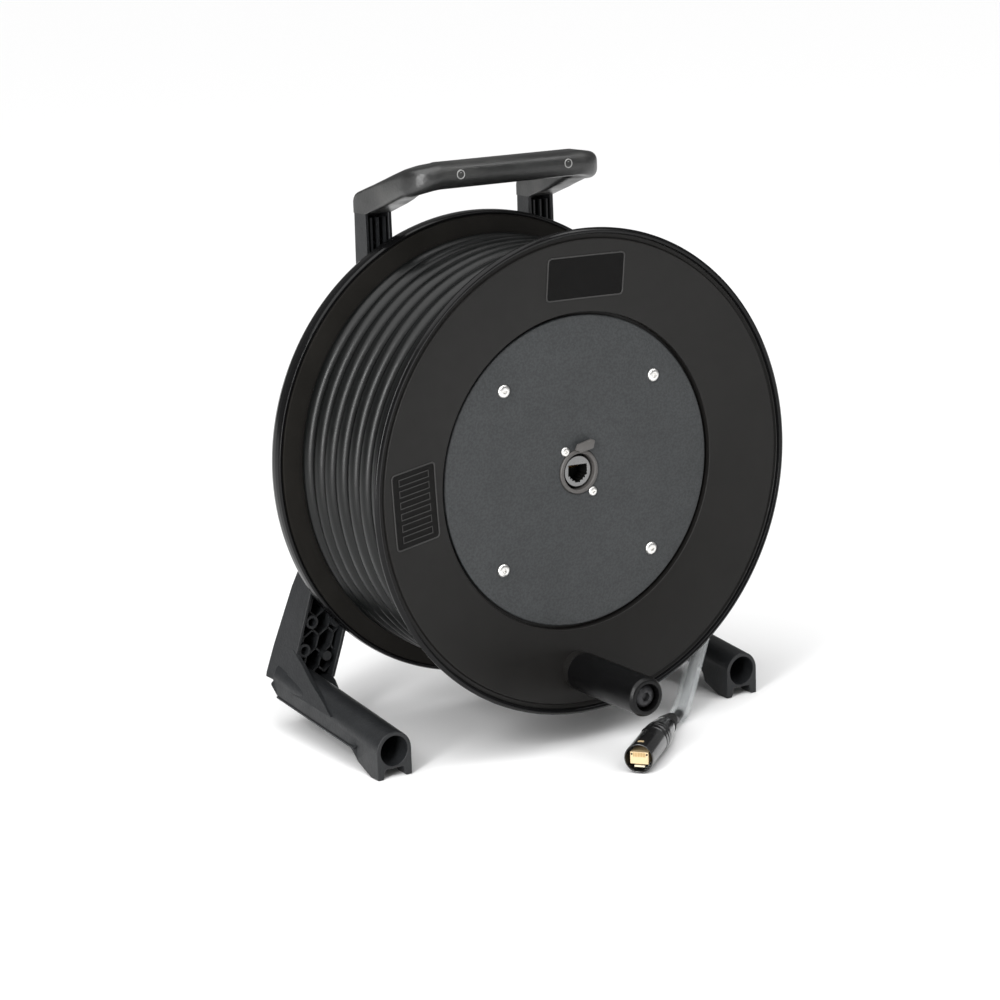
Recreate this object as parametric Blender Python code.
"""Portable cable drum on a one-sided carrying frame.

A drum turns on a fixed spindle in front of a moulded frame with two posts, a
forward-reaching handle and two splayed legs on tube feet.  The drum's front
flange carries a round connector plate with one data receptacle and a free
turning crank knob.  The cable's outer end leaves the winding beside the front
flange and lies on the floor with its plug.

Frame: +X to the right, -Y to the front, +Z up, floor at z = 0.  Metres.
Depths written as d(...) are counted backwards from the connector plate's face.
"""
import math

import bmesh
import bpy
from mathutils import Matrix, Vector

# ------------------------------------------------------------- dimensions
AXIS_Z = 0.175            # drum axis above the floor
PLATE_Y = -0.0379          # connector plate's front face
GAP = 0.0003              # gap kept between separate pieces
DRUM_TURN = math.radians(2.1)      # drum's angle at rest, clockwise from the front
CRANK_TURN = math.radians(1.8)     # crank's own angle from straight down on the drum

FLANGE_R = 0.1534
PLATE_R = 0.0985
OPENING_R = 0.1005        # opening of the front flange round the plate
CORE_R = 0.101
DISH_OUT = (0.1462, -0.0105)       # outer end of the flange's dished face
DISH_IN = (OPENING_R, -0.0018)     # its inner end at the plate's opening
CRANK_RING_R = 0.1258     # crank knob's distance from the drum axis
KNOB_R = 0.0124
KNOB_FRONT = -0.0812      # depth of the knob's end face
KNOB_REAR = -0.0122

CABLE_D = 0.0140          # jacketed cable on the drum
TURNS = 7                 # turns side by side in one layer
WIND_FRONT = 0.0082       # winding between the flanges
WIND_REAR = 0.1084
WIND_R = 0.1397
WIND_CORE_R = 0.1014

SPINDLE_R = 0.0100
PLATE_SCREW = 0.0560      # plate screws at (+-, +-) of this
RECEPTACLE_SCREW = (-0.0105, 0.0136)

POST_OUT, POST_IN = 0.0721, 0.0523         # post's side faces
POST_TOP = 0.1550                          # top of the posts above the axis
FRAME_FRONT = 0.1260                       # depth of the frame's front edges
GRIP_FRONT, GRIP_REAR = 0.0624, 0.0844     # depth of the hand grip
GRIP_LOW, GRIP_TOP = 0.1745, 0.1920        # grip's height above the axis
GRIP_HALF = 0.0514
FOOT_X = 0.1344
FOOT_R = 0.0122
FOOT_FRONT = 0.0107
FOOT_BORE_R = 0.0095
FOOT_AXIS = -0.1578                        # foot tube's centre at its front end
FOOT_SLOPE = 0.1139                        # rise of the foot tube towards the rear

SLEEVE_D = 0.0120
LEAD_D = 0.0062
PLUG_R = 0.0095
PLUG_Z = 0.0097


def d(depth):
    """World y of a depth behind the connector plate's face."""
    return PLATE_Y + depth


# ------------------------------------------------------------- materials
def material(name, colour, rough, metal=0.0):
    mat = bpy.data.materials.new(name)
    mat.use_nodes = True
    shader = mat.node_tree.nodes["Principled BSDF"]
    shader.inputs["Base Color"].default_value = (*colour, 1.0)
    shader.inputs["Roughness"].default_value = rough
    shader.inputs["Metallic"].default_value = metal
    return mat


def clear_scene():
    for ob in list(bpy.data.objects):
        bpy.data.objects.remove(ob, do_unlink=True)


# ------------------------------------------------------------- mesh helpers
def finish(name, bm, mat, parent=None, smooth=True, matrix=None):
    bmesh.ops.recalc_face_normals(bm, faces=bm.faces)
    mesh = bpy.data.meshes.new(name)
    bm.to_mesh(mesh)
    bm.free()
    mesh.materials.append(mat)
    if smooth:
        mesh.shade_smooth()
        mesh.set_sharp_from_angle(angle=math.radians(32))
    ob = bpy.data.objects.new(name, mesh)
    bpy.context.collection.objects.link(ob)
    if matrix is not None:
        ob.matrix_world = matrix
    if parent is not None:
        ob.parent = parent
    return ob


def turned(name, profile, steps, mat, parent=None, matrix=None):
    """Closed (radius, depth) profile spun about the piece's own Y axis."""
    bm = bmesh.new()
    verts = [bm.verts.new((r, y, 0.0)) for r, y in profile]
    on_axis = profile[0][0] == 0.0
    pairs = zip(verts, verts[1:] if on_axis else verts[1:] + verts[:1])
    edges = [bm.edges.new(pair) for pair in pairs]
    bmesh.ops.spin(bm, geom=verts + edges, cent=(0, 0, 0), axis=(0, 1, 0),
                   angle=math.tau, steps=steps, use_merge=True)
    bmesh.ops.remove_doubles(bm, verts=bm.verts, dist=1e-6)
    return finish(name, bm, mat, parent, matrix=matrix)


def lofted(name, rings, mat, parent=None, smooth=True):
    """Solid through a row of equal-length closed rings, capped at both ends."""
    bm = bmesh.new()
    rows = [[bm.verts.new(p) for p in ring] for ring in rings]
    for a, b in zip(rows, rows[1:]):
        for i in range(len(a)):
            j = (i + 1) % len(a)
            bm.faces.new((a[i], a[j], b[j], b[i]))
    for row in (rows[0], rows[-1]):
        bmesh.ops.triangle_fill(
            bm, edges=[e for e in bm.edges if e.verts[0] in row and e.verts[1] in row
                       and e.is_boundary], use_beauty=True)
    return finish(name, bm, mat, parent, smooth)


def prism(name, outline, y0, y1, mat, parent=None):
    """(x, z) outline extruded from depth y0 to y1."""
    return lofted(name, [[(x, y, z) for x, z in outline] for y in (y0, y1)],
                  mat, parent, smooth=False)


def cut(ob, cutter, operation="DIFFERENCE"):
    """Boolean of two objects; the second one is used up as a hidden tool."""
    cutter.hide_render = True
    cutter.display_type = "WIRE"
    mod = ob.modifiers.new(operation.title(), "BOOLEAN")
    mod.operation = operation
    mod.solver = "EXACT"
    mod.object = cutter
    return mod


def rounded(w0, w1, h0, h1, r, per_corner=3):
    """(u, v) points of a rectangle with round corners, anticlockwise."""
    points = []
    corners = ((w1 - r, h1 - r, 0), (w0 + r, h1 - r, 90), (w0 + r, h0 + r, 180),
               (w1 - r, h0 + r, 270))
    for cu, cv, start in corners:
        for k in range(per_corner):
            a = math.radians(start + 90 * k / (per_corner - 1))
            points.append((cu + r * math.cos(a), cv + r * math.sin(a)))
    return points


def circle(cx, cz, r, n, turn=0.0):
    return [(cx + r * math.cos(math.tau * k / n + turn),
             cz + r * math.sin(math.tau * k / n + turn)) for k in range(n)]


# ------------------------------------------------------------- carrying frame
# One side member: (height above axis, outer |x|, inner |x|, front depth, rear depth).
MEMBER = (
    (POST_TOP, POST_OUT, POST_IN, 0.1285, 0.1425),
    (0.0560, POST_OUT, POST_IN, 0.1265, 0.1445),
    (0.0000, 0.0925, 0.0640, FRAME_FRONT, 0.1445),
    (-0.0500, 0.1127, 0.0815, FRAME_FRONT, 0.1445),
    (-0.0846, 0.1261, 0.0915, FRAME_FRONT, 0.1510),
    (-0.1225, 0.1379, 0.1035, FRAME_FRONT, 0.1565),
    (-0.1400, 0.1420, 0.1095, FRAME_FRONT, 0.1570),
    (-0.1535, 0.1440, 0.1110, FRAME_FRONT, 0.1545),
)
WALL = 0.0028


def side_member(side, name, mat):
    """Post and leg in one channel moulding, open to the front."""
    solid = [[(side * xo, d(yf), AXIS_Z + z), (side * xo, d(yr), AXIS_Z + z),
              (side * xi, d(yr), AXIS_Z + z), (side * xi, d(yf), AXIS_Z + z)]
             for z, xo, xi, yf, yr in MEMBER]
    body = lofted(name, solid, mat)
    body.modifiers.new("Edges", "BEVEL").width = 0.0012
    body.modifiers["Edges"].segments = 1
    body.modifiers["Edges"].limit_method = "ANGLE"
    hollow = []
    for k, (z, xo, xi, yf, yr) in enumerate(MEMBER):
        zz = z - 0.0030 if k == 0 else (z + 0.0035 if k == len(MEMBER) - 1 else z)
        hollow.append([(side * (xo - WALL), d(yf - 0.004), AXIS_Z + zz),
                       (side * (xo - WALL), d(yr - 0.003), AXIS_Z + zz),
                       (side * (xi + WALL), d(yr - 0.003), AXIS_Z + zz),
                       (side * (xi + WALL), d(yf - 0.004), AXIS_Z + zz)])
    cut(body, lofted(name + "_hollow_tool", hollow, mat, smooth=False))
    return body


def rib(name, side, z, x0, x1, y_rear, thick, mat, rise=0.0):
    """Cross rib in a leg's channel from wall to wall, set back from the front."""
    a, b = side * x0, side * x1
    low = [(a, z - thick / 2), (b, z - thick / 2 + rise), (b, z + thick / 2 + rise),
           (a, z + thick / 2)]
    return prism(name, [(x, AXIS_Z + zz) for x, zz in low], d(FRAME_FRONT + 0.004),
                 d(y_rear), mat)


def leg_ribs(body, side, name, mat):
    """Crossed stiffening ribs and two round bosses inside the leg."""
    rows = ((-0.066, 0.1185, 0.0890, 0.1455, 0.016), (-0.066, 0.1185, 0.0890, 0.1455, -0.016),
            (-0.098, 0.1295, 0.0975, 0.1500, 0.016), (-0.098, 0.1295, 0.0975, 0.1500, -0.016),
            (-0.130, 0.1385, 0.1085, 0.1535, 0.012), (-0.130, 0.1385, 0.1085, 0.1535, -0.012))
    for k, (z, xo, xi, yr, rise) in enumerate(rows):
        tool = rib(f"{name}_rib_tool_{k}", side, z - rise / 2, xo - 0.0005, xi + 0.0005,
                   yr, 0.0018, mat, rise)
        cut(body, tool, "UNION")
    for k, (x, z) in enumerate(((0.1265, -0.1025), (0.1325, -0.1205))):
        tool = prism(f"{name}_boss_tool_{k}", circle(side * x, AXIS_Z + z, 0.0040, 10),
                     d(FRAME_FRONT + 0.002), d(0.1500), mat)
        cut(body, tool, "UNION")


def arm(side, name, mat):
    """Upper arm from the post's top forwards into the rounded end of the grip."""
    plan = [((POST_OUT, 0.1425), (POST_IN, 0.1425), 0.1553, 0.1680, 0.0020),
            ((POST_OUT, 0.1280), (POST_IN, 0.1280), 0.1556, 0.1722, 0.0020),
            ((POST_OUT, 0.1060), (POST_IN, 0.1060), 0.1626, 0.1784, 0.0025),
            ((POST_OUT, 0.0880), (POST_IN, 0.0890), 0.1690, 0.1842, 0.0035)]
    for k in range(7):
        a = math.radians(90 * k / 6)
        outer = (GRIP_HALF + 0.0207 * math.cos(a), 0.0831 - 0.0207 * math.sin(a))
        inner = (POST_IN - 0.0007 * k / 6, 0.0862 - 0.0018 * k / 6)
        t = k / 6
        plan.append((outer, inner, 0.1700 + (GRIP_LOW - 0.1700) * t,
                     0.1858 + (GRIP_TOP - 0.1858) * t, 0.0040 + 0.0030 * t))
    rings = []
    for (xo, yo), (xi, yi), low, top, r in plan:
        ring = []
        for u, v in rounded(0.0, math.hypot(xo - xi, yo - yi), low, top, r):
            t = u / math.hypot(xo - xi, yo - yi)
            ring.append((side * (xi + (xo - xi) * t), d(yi + (yo - yi) * t), AXIS_Z + v))
        rings.append(ring)
    return lofted(name, rings, mat)


def grip_bar(mat):
    """Straight hand grip between the two arms."""
    section = rounded(d(GRIP_FRONT), d(GRIP_REAR), AXIS_Z + GRIP_LOW, AXIS_Z + GRIP_TOP,
                      0.0072, 4)
    half = GRIP_HALF - GAP
    rings = [[(x, y, z) for y, z in section]
             for x in (-half, -half * 0.5, 0.0, half * 0.5, half)]
    bar = lofted("grip_bar", rings, mat)
    for k, x in enumerate((-0.0402, 0.0402)):
        tool = turned(f"grip_bar_hole_tool_{k}", [(0.0, -0.002), (0.0034, -0.002),
                                                  (0.0034, 0.004), (0.0, 0.004)], 12, mat)
        tool.location = (x, d(GRIP_FRONT), AXIS_Z + 0.1835)
        cut(bar, tool)
    return bar


def foot(side, name, mat):
    """Tube foot with two skid edges, an open bore in front and side gussets."""
    stations = ((FOOT_FRONT, -0.1750), (0.0220, -0.1750), (0.0385, -0.1683),
                (0.0440, -0.1640), (0.0700, -0.1607), (0.0980, -0.1573),
                (FRAME_FRONT - GAP, -0.1539))
    rings = []
    for y, low in stations:
        zc = FOOT_AXIS + FOOT_SLOPE * (y - FOOT_FRONT)
        lip = min(0.0042, (zc - low) - 0.0100)
        ring = [(-FOOT_R, low), (-0.0080, low), (-0.0062, low + lip), (0.0062, low + lip),
                (0.0080, low), (FOOT_R, low)]
        ring += [(FOOT_R * math.cos(math.radians(a)), zc + FOOT_R * math.sin(math.radians(a)))
                 for a in range(0, 181, 20)]
        rings.append([(side * (FOOT_X + x), d(y), AXIS_Z + z) for x, z in ring])
    body = lofted(name, rings, mat)
    for k, (outer, thick) in enumerate(((FOOT_X + FOOT_R, -0.0026),
                                        (FOOT_X - FOOT_R, 0.0026))):
        outline = [(0.1257, -0.1470), (0.0700, -0.1560), (0.0690, -0.1476), (0.0800, -0.1425),
                   (0.0930, -0.1372), (0.1070, -0.1305), (0.1180, -0.1250), (0.1257, -0.1230)]
        rows = []
        for shift in (0.0, thick):
            row = []
            for y, z in outline:
                lean = max(0.0, z + 0.1450) * (0.36 if k == 0 else -0.45)
                row.append((side * (outer + shift - lean), d(y), AXIS_Z + z))
            rows.append(row)
        cut(body, lofted(f"{name}_gusset_tool_{k}", rows, mat, smooth=False), "UNION")
    bore = turned(f"{name}_bore_tool", [(0.0, -0.004), (FOOT_BORE_R, -0.004),
                                        (FOOT_BORE_R, 0.055), (0.0, 0.055)], 24, mat)
    bore.location = (side * FOOT_X, d(FOOT_FRONT), AXIS_Z + FOOT_AXIS)
    bore.rotation_euler = (math.atan(FOOT_SLOPE), 0.0, 0.0)
    cut(body, bore)
    return body


def heel(side, name, mat):
    """Rear heel block under the leg, level with the foot's skids."""
    outline = [(0.1180, -0.1541), (0.1114, -0.1541), (0.0990, -0.1630), (0.0990, -0.1750),
               (0.1180, -0.1750)]
    ob = prism(name, [(side * x, AXIS_Z + z) for x, z in outline], d(0.1280), d(0.1520), mat)
    ob.modifiers.new("Edges", "BEVEL").width = 0.0010
    ob.modifiers["Edges"].segments = 1
    return ob


BRIDGE_BOLTS = ((-0.0700, 0.0280), (0.0700, 0.0280), (-0.0850, -0.0280), (0.0850, -0.0280))


def hub_bridge(mat):
    """Cross plate behind the two side members, with the spindle's boss."""
    outline = [(-0.0740, 0.0440), (0.0740, 0.0440), (0.0780, 0.0400), (0.0960, -0.0360),
               (0.0920, -0.0420), (-0.0920, -0.0420), (-0.0960, -0.0360), (-0.0780, 0.0400)]
    body = prism("hub_bridge", [(x, AXIS_Z + z) for x, z in outline],
                 d(0.1448), d(0.1490), mat)
    boss = prism("hub_bridge_boss_tool", circle(0.0, AXIS_Z, 0.0300, 32),
                 d(0.1265), d(0.1470), mat)
    cut(body, boss, "UNION")
    for k, (half, low, high) in enumerate(((0.0500, -0.0040, 0.0040),
                                           (0.0040, -0.0380, 0.0400))):
        web = prism(f"hub_bridge_web_tool_{k}",
                    [(-half, AXIS_Z + low), (half, AXIS_Z + low), (half, AXIS_Z + high),
                     (-half, AXIS_Z + high)], d(0.1300), d(0.1460), mat)
        cut(body, web, "UNION")
    hole = prism("hub_bridge_hole_tool", circle(0.0, AXIS_Z, SPINDLE_R + GAP, 28),
                 d(0.1200), d(0.1550), mat)
    cut(body, hole)
    for k, (x, z) in enumerate(BRIDGE_BOLTS):
        cut(body, prism(f"hub_bridge_bolt_tool_{k}", circle(x, AXIS_Z + z, 0.0033, 10),
                        d(0.1400), d(0.1550), mat))
    return body


def button_screw(name, head_r, head_h, shank_r, shank_l, mat, parent, x, y, z, back=False):
    """Domed screw; its head sits before depth y, or behind it when back is set."""
    s = -1.0 if back else 1.0
    shape = [(0.0, -head_h * s), (head_r * 0.62, -head_h * s), (head_r, -head_h * 0.35 * s),
             (head_r, 0.0), (shank_r, 0.0), (shank_r, shank_l * s), (0.0, shank_l * s)]
    return turned(name, shape, 14, mat, parent, Matrix.Translation((x, y, z)))


# ------------------------------------------------------------- drum
def front_flange(mat, drum):
    profile = [DISH_IN, DISH_OUT, (0.1472, -0.0092), (0.1494, -0.0092), (0.1502, -0.0116),
               (0.1514, -0.0122), (0.1528, -0.0118), (FLANGE_R, -0.0106), (FLANGE_R, -0.0090),
               (0.1524, -0.0080), (0.1484, -0.0056), (0.1012, 0.0060), (0.0720, 0.0060),
               (0.0720, 0.0033), (OPENING_R, 0.0033)]
    flange = turned("front_flange", profile, 64, mat, drum)
    hole = prism("front_flange_hole_tool",
                 circle(-CRANK_RING_R * math.sin(CRANK_TURN),
                        -CRANK_RING_R * math.cos(CRANK_TURN), 0.0120, 20),
                 -0.0200, 0.0100, mat, drum)
    cut(flange, hole)
    return flange


def rear_flange(mat, drum):
    profile = [(0.0246, 0.1090), (0.1490, 0.1090), (0.1502, 0.1082), (0.1522, 0.1086),
               (FLANGE_R, 0.1104), (FLANGE_R, 0.1186), (0.1524, 0.1202), (0.1504, 0.1202),
               (0.1484, 0.1176), (0.1464, 0.1134), (0.0420, 0.1134), (0.0400, 0.1176),
               (0.0246, 0.1176)]
    return turned("rear_flange", profile, 64, mat, drum)


def winding(mat, drum):
    """Seven turns side by side, drawn as one ring with a ridge for each turn."""
    pitch = (WIND_REAR - WIND_FRONT) / TURNS
    profile = [(WIND_CORE_R, WIND_REAR), (WIND_CORE_R, WIND_FRONT)]
    for turn in range(TURNS):
        for k, rise in enumerate((0.0, 0.0036, 0.0052, 0.0036)):
            y = WIND_FRONT + pitch * (turn + k / 4)
            profile.append((WIND_R - 0.0052 + rise, y))
    profile.append((WIND_R - 0.0052, WIND_REAR))
    return turned("cable_winding", profile, 56, mat, drum)


def connector_plate(mat, drum):
    profile = [(0.0144, 0.0), (0.0979, 0.0), (PLATE_R, 0.0006), (PLATE_R, 0.0030),
               (0.0144, 0.0030)]
    plate = turned("connector_plate", profile, 64, mat, drum)
    for k, (sx, sz) in enumerate(((-1, 1), (1, 1), (-1, -1), (1, -1))):
        tool = prism(f"connector_plate_hole_tool_{k}",
                     circle(sx * PLATE_SCREW, sz * PLATE_SCREW, 0.0023, 10),
                     -0.002, 0.005, mat, drum)
        cut(plate, tool)
    for k, s in enumerate((1, -1)):
        x, z = RECEPTACLE_SCREW
        tool = prism(f"connector_plate_small_hole_tool_{k}", circle(s * x, s * z, 0.0018, 10),
                     -0.002, 0.005, mat, drum)
        cut(plate, tool)
    slot = [(TAB_STEM[0] - GAP, TAB_STEM[2] - GAP), (TAB_STEM[1] + GAP, TAB_STEM[2] - GAP),
            (TAB_STEM[1] + GAP, TAB_STEM[3] + GAP), (TAB_STEM[0] - GAP, TAB_STEM[3] + GAP)]
    cut(plate, prism("connector_plate_slot_tool", slot, -0.002, 0.005, mat, drum))
    return plate


def receptacle(mat_ring, mat_shell, mat_jack, drum):
    """Round panel receptacle: outer ring, metal shell and the socket block."""
    turned("receptacle_ring", [(0.0112, -0.0012), (0.0136, -0.0012), (0.0140, -0.0006),
                               (0.0140, 0.0150), (0.0112, 0.0150)], 32, mat_ring, drum)
    shell = turned("receptacle_shell", [(0.0, 0.0010), (0.0094, 0.0010), (0.0098, 0.0016),
                                        (0.0098, 0.0140), (0.0, 0.0140)], 28,
                   mat_shell, drum)
    outline = [(-0.0066, 0.0044), (-0.0066, -0.0040), (-0.0036, -0.0040), (-0.0036, -0.0066),
               (0.0036, -0.0066), (0.0036, -0.0040), (0.0066, -0.0040), (0.0066, 0.0044)]
    cut(shell, prism("receptacle_cavity_tool", outline, -0.002, 0.0115, mat_shell, drum))
    block = [(-0.0050, -0.0036), (0.0050, -0.0036), (0.0050, -0.0016), (-0.0050, -0.0016)]
    prism("receptacle_contacts", block, 0.0045, 0.0112, mat_jack, drum)


TAB_STEM = (0.0034, 0.0074, 0.0160, 0.0180)     # left, right, bottom, top


def latch_tab(mat, parent):
    """Push tab over the receptacle; its stem slides straight in through the plate."""
    outline = [(-0.0010, 0.0151), (0.0090, 0.0123), (0.0120, 0.0160), (0.0113, 0.0198),
               (0.0050, 0.0207), (0.0000, 0.0190)]
    ob = prism("latch_tab", outline, -0.0046, -0.0022, mat, parent)
    ob.modifiers.new("Edges", "BEVEL").width = 0.0006
    ob.modifiers["Edges"].segments = 1
    left, right, low, high = TAB_STEM
    stem = prism("latch_tab_stem_tool", [(left, low), (right, low), (right, high),
                                         (left, high)], -0.0035, 0.0060, mat, parent)
    cut(ob, stem, "UNION")
    return ob


def label_plate(name, width, height, mat, drum, radius, angle, upright):
    """Thin blank badge on the flange's dished face."""
    outline = rounded(-width / 2, width / 2, -height / 2, height / 2, 0.0030)
    ob = prism(name, outline, -0.0010, 0.0, mat)
    rise = (DISH_OUT[1] - DISH_IN[1]) / (DISH_OUT[0] - DISH_IN[0])
    slope = math.atan(-rise)
    face = DISH_IN[1] + rise * (radius - OPENING_R)
    spot = Matrix.Translation((radius * math.sin(angle), face - 0.0008,
                               radius * math.cos(angle)))
    lean = (Matrix.Rotation(angle, 4, "Y") @ Matrix.Rotation(slope, 4, "X")
            @ Matrix.Rotation(upright, 4, "Y"))
    ob.parent = drum
    ob.matrix_local = spot @ lean
    return ob


def crank(mat_knob, mat_metal, mat_flange, drum, knob):
    """Crank knob: a sleeve that turns freely on a bolt fixed in the flange."""
    place = Matrix.Translation((-CRANK_RING_R * math.sin(CRANK_TURN), 0.0,
                                -CRANK_RING_R * math.cos(CRANK_TURN)))
    base, end = KNOB_REAR + 0.0004, KNOB_FRONT
    turned("crank_base", [(0.0052, base), (0.0108, base), (0.0116, base + 0.0008),
                          (0.0116, 0.0004), (0.0052, 0.0004)], 20, mat_flange, drum, place)
    turned("crank_bolt", [(0.0, end + 0.0018), (0.0050, end + 0.0018), (0.0070, end + 0.0036),
                          (0.0070, end + 0.0060), (0.0046, end + 0.0060), (0.0046, 0.0004),
                          (0.0, 0.0004)], 16, mat_metal, drum, place)
    turned("crank_sleeve", [(0.0086, end), (0.0102, end), (0.0118, end + 0.0010),
                            (KNOB_R, end + 0.0032), (KNOB_R, KNOB_REAR + 0.0010),
                            (0.0116, KNOB_REAR), (0.0052, KNOB_REAR), (0.0052, end + 0.0066),
                            (0.0086, end + 0.0066)], 28, mat_knob, knob)


# ------------------------------------------------------------- cable end
ROUTE = ((0.1168, 0.0154, -0.0903), (0.1110, 0.0154, -0.1090), (0.1050, 0.0150, -0.1270),
         (0.0975, 0.0130, -0.1430), (0.0885, 0.0080, -0.1568), (0.0765, -0.0020, -0.1655),
         (0.0640, -0.0130, -0.1687), (0.0570, -0.0190, -0.1688))
PLUG_START = (0.0500, -0.0247)
PLUG_DIR = Vector((-0.775, -0.632, 0.0)).normalized()


def catmull(points, per_span):
    """Smooth curve through the points, a few samples to each span."""
    p = [Vector(q) for q in points]
    p = [2 * p[0] - p[1]] + p + [2 * p[-1] - p[-2]]
    out = []
    for i in range(1, len(p) - 2):
        for k in range(per_span):
            t = k / per_span
            out.append(0.5 * ((2 * p[i]) + (p[i + 1] - p[i - 1]) * t
                              + (2 * p[i - 1] - 5 * p[i] + 4 * p[i + 1] - p[i + 2]) * t * t
                              + (3 * p[i] - p[i - 1] - 3 * p[i + 1] + p[i + 2]) * t ** 3))
    out.append(p[-2])
    return out


def tube(name, points, diameter, mat):
    """Round cord along a row of points, with closed ends."""
    curve = bpy.data.curves.new(name, "CURVE")
    curve.dimensions = "3D"
    curve.bevel_depth = diameter / 2
    curve.bevel_resolution = 3
    curve.use_fill_caps = True
    spline = curve.splines.new("POLY")
    spline.points.add(len(points) - 1)
    for spot, p in zip(spline.points, points):
        spot.co = (p[0], d(p[1]), AXIS_Z + p[2], 1.0)
    curve.materials.append(mat)
    ob = bpy.data.objects.new(name, curve)
    bpy.context.collection.objects.link(ob)
    return ob


def trimmed(points, start, end):
    """The stretch of a polyline between two lengths along it."""
    out, run = [], 0.0
    for a, b in zip(points, points[1:]):
        step = (b - a).length
        for mark in (start, end):
            if run < mark < run + step and mark > 0:
                out.append(a.lerp(b, (mark - run) / step))
        run += step
        if start + 0.001 < run < end - 0.001:
            out.append(b)
    if start <= 0:
        out.insert(0, points[0])
    if end >= run:
        out.append(points[-1])
    return out


def plug(mats):
    """Ribbed boot, tapered body, collar and shell on one axis, lying down."""
    rubber, plastic, gold = mats
    base = Matrix.Translation((PLUG_START[0], d(PLUG_START[1]), PLUG_Z))
    turn = PLUG_DIR.to_track_quat("Y", "Z").to_matrix().to_4x4()
    place = base @ turn
    boot = [(0.0, 0.0), (0.0040, 0.0)]
    for k in range(5):
        r = 0.0046 + 0.0006 * k
        boot += [(r, 0.0008 + 0.0030 * k), (r, 0.0024 + 0.0030 * k),
                 (r - 0.0007, 0.0028 + 0.0030 * k)]
    boot += [(0.0066, 0.0160), (0.0, 0.0160)]
    turned("plug_boot", boot, 16, rubber, None, place)
    turned("plug_body", [(0.0, 0.0163), (0.0068, 0.0163), (0.0082, 0.0240), (0.0092, 0.0345),
                         (0.0092, 0.0365), (0.0, 0.0365)], 20, plastic, None, place)
    turned("plug_collar", [(0.0, 0.0368), (0.0088, 0.0368), (PLUG_R, 0.0376),
                           (PLUG_R, 0.0452), (0.0090, 0.0460), (0.0, 0.0460)], 20,
           plastic, None, place)
    turned("plug_shell", [(0.0, 0.0463), (0.0093, 0.0463), (0.0093, 0.0800),
                          (0.0084, 0.0800), (0.0084, 0.0660), (0.0, 0.0660)], 24,
           plastic, None, place)
    block = rounded(-0.0058, 0.0058, -0.0040, 0.0036, 0.0006, 2)
    insert = prism("plug_contacts", block, 0.0663, 0.0785, gold)
    insert.matrix_world = place


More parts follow.
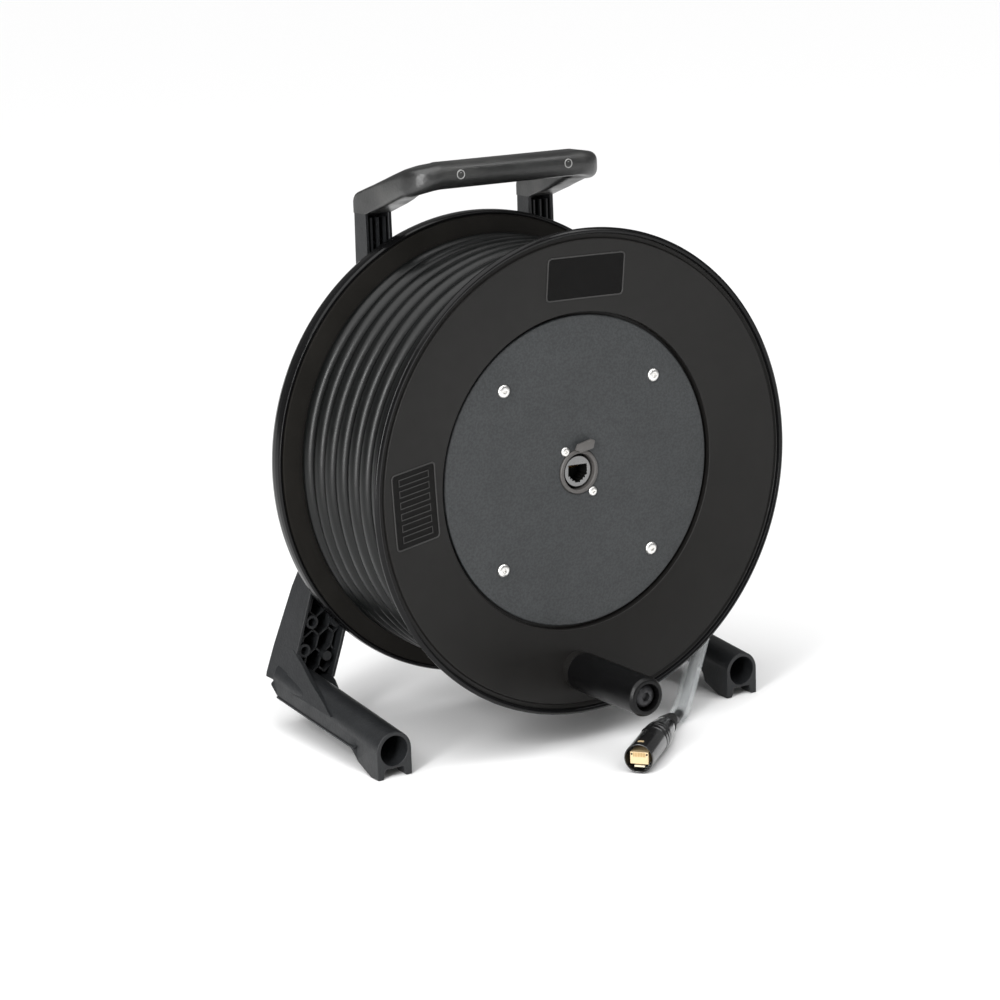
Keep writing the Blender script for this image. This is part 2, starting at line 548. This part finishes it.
# ------------------------------------------------------------- assembly
def build():
    clear_scene()
    black = material("flange_plastic", (0.028, 0.028, 0.028), 0.42)
    frame_grey = material("frame_plastic", (0.055, 0.058, 0.062), 0.55)
    grip_mat = material("grip_plastic", (0.045, 0.047, 0.049), 0.45)
    plate_mat = material("plate_coating", (0.060, 0.067, 0.072), 0.60)
    rubber = material("cable_rubber", (0.030, 0.032, 0.031), 0.38)
    foot_rubber = material("heel_rubber", (0.020, 0.020, 0.020), 0.80)
    steel = material("screw_steel", (0.70, 0.70, 0.68), 0.28, 1.0)
    zinc = material("spindle_zinc", (0.45, 0.45, 0.46), 0.38, 1.0)
    ring_grey = material("receptacle_grey", (0.16, 0.155, 0.15), 0.50)
    nickel = material("receptacle_nickel", (0.55, 0.56, 0.57), 0.30, 1.0)
    gold = material("contact_gold", (0.80, 0.62, 0.32), 0.30, 1.0)
    knob_mat = material("knob_plastic", (0.020, 0.020, 0.022), 0.40)
    badge = material("badge_plastic", (0.036, 0.038, 0.040), 0.50)
    bush_mat = material("bush_polymer", (0.30, 0.30, 0.29), 0.50)
    sleeve_mat = material("sleeve_vinyl", (0.42, 0.43, 0.44), 0.40)
    lead_mat = material("lead_jacket", (0.030, 0.034, 0.032), 0.45)
    plug_mat = material("plug_black", (0.016, 0.016, 0.017), 0.25)

    for side, word in ((-1, "left"), (1, "right")):
        member = side_member(side, f"side_member_{word}", frame_grey)
        leg_ribs(member, side, f"side_member_{word}", frame_grey)
        arm(side, f"handle_arm_{word}", frame_grey)
        foot(side, f"foot_{word}", frame_grey)
        heel(side, f"heel_{word}", foot_rubber)
        button_screw(f"grip_screw_{word}", 0.0031, 0.0004, 0.0026, 0.0030, grip_mat, None,
                     side * 0.0402, d(GRIP_FRONT + 0.0006), AXIS_Z + 0.1835)
    grip_bar(grip_mat)
    hub_bridge(frame_grey)
    for k, (x, z) in enumerate(BRIDGE_BOLTS):
        button_screw(f"bridge_bolt_{k + 1}", 0.0060, 0.0034, 0.0030, 0.0035, zinc, None,
                     x, d(0.1493), AXIS_Z + z, back=True)
    axis = Matrix.Translation((0.0, PLATE_Y, AXIS_Z))
    turned("spindle", [(0.0, 0.0400), (0.0092, 0.0400), (SPINDLE_R, 0.0408),
                       (SPINDLE_R, 0.1490), (0.0, 0.1490)], 28, zinc, None, axis)
    turned("spindle_washer", [(0.0, 0.0366), (0.0180, 0.0366), (0.0180, 0.0397),
                              (0.0, 0.0397)], 24, zinc, None, axis)
    turned("spindle_nut", [(0.0, 0.1493), (0.0150, 0.1493), (0.0150, 0.1530),
                           (0.0135, 0.1560), (0.0, 0.1560)], 6, zinc, None, axis)

    drum = bpy.data.objects.new("drum_axis", None)
    bpy.context.collection.objects.link(drum)
    front_flange(black, drum)
    rear_flange(black, drum)
    turned("drum_core", [(0.0920, 0.0064), (CORE_R, 0.0064), (CORE_R, 0.1086),
                         (0.0920, 0.1086)], 56, black, drum)
    turned("hub_tube", [(0.0134, 0.0402), (0.0242, 0.0402), (0.0242, 0.1214),
                        (0.0134, 0.1214)], 28, black, drum)
    turned("bush_front", [(0.0104, 0.0412), (0.0131, 0.0412), (0.0131, 0.0540),
                          (0.0104, 0.0540)], 28, bush_mat, drum)
    turned("bush_rear", [(0.0104, 0.1080), (0.0131, 0.1080), (0.0131, 0.1217),
                         (0.0200, 0.1217), (0.0200, 0.1240), (0.0104, 0.1240)], 28,
           bush_mat, drum)
    winding(rubber, drum)
    connector_plate(plate_mat, drum)
    for k, (sx, sz) in enumerate(((-1, 1), (1, 1), (-1, -1), (1, -1))):
        button_screw(f"plate_screw_{k + 1}", 0.0042, 0.0018, 0.0020, 0.0030, steel, drum,
                     sx * PLATE_SCREW, -GAP, sz * PLATE_SCREW)
    for k, s in enumerate((1, -1)):
        button_screw(f"receptacle_screw_{k + 1}", 0.0029, 0.0014, 0.0015, 0.0030, steel, drum,
                     s * RECEPTACLE_SCREW[0], -GAP, s * RECEPTACLE_SCREW[1])
    receptacle(ring_grey, nickel, gold, drum)
    tab_axis = bpy.data.objects.new("latch_slide", None)
    bpy.context.collection.objects.link(tab_axis)
    tab_axis.parent = drum
    latch_tab(ring_grey, tab_axis)
    label_plate("badge_top", 0.0540, 0.0310, badge, drum, 0.1215, math.radians(0.3), 0.0)
    label_plate("badge_side", 0.0475, 0.0340, badge, drum, 0.1200, math.radians(-94.5), 0.0)

    knob = bpy.data.objects.new("crank_axis", None)
    bpy.context.collection.objects.link(knob)
    knob.parent = drum
    knob.location = (-CRANK_RING_R * math.sin(CRANK_TURN), 0.0,
                     -CRANK_RING_R * math.cos(CRANK_TURN))
    crank(knob_mat, steel, black, drum, knob)
    drum.location = (0.0, PLATE_Y, AXIS_Z)
    drum.rotation_euler = (0.0, DRUM_TURN, 0.0)

    route = catmull(ROUTE, 5)
    length = sum((b - a).length for a, b in zip(route, route[1:]))
    tube("tail_cable", trimmed(route, 0.0, 0.0280), CABLE_D, rubber)
    tube("lead_sleeve", trimmed(route, 0.0283, length), SLEEVE_D, sleeve_mat)
    way = (route[-1] - route[-2]).normalized()
    first = route[-1] + way * 0.0005
    last = Vector((PLUG_START[0], PLUG_START[1], PLUG_Z - AXIS_Z)) - PLUG_DIR * GAP
    lead = [first, first + way * 0.004, last - PLUG_DIR * 0.003, last]
    tube("lead_cable", lead, LEAD_D, lead_mat)
    plug((foot_rubber, plug_mat, gold))


build()
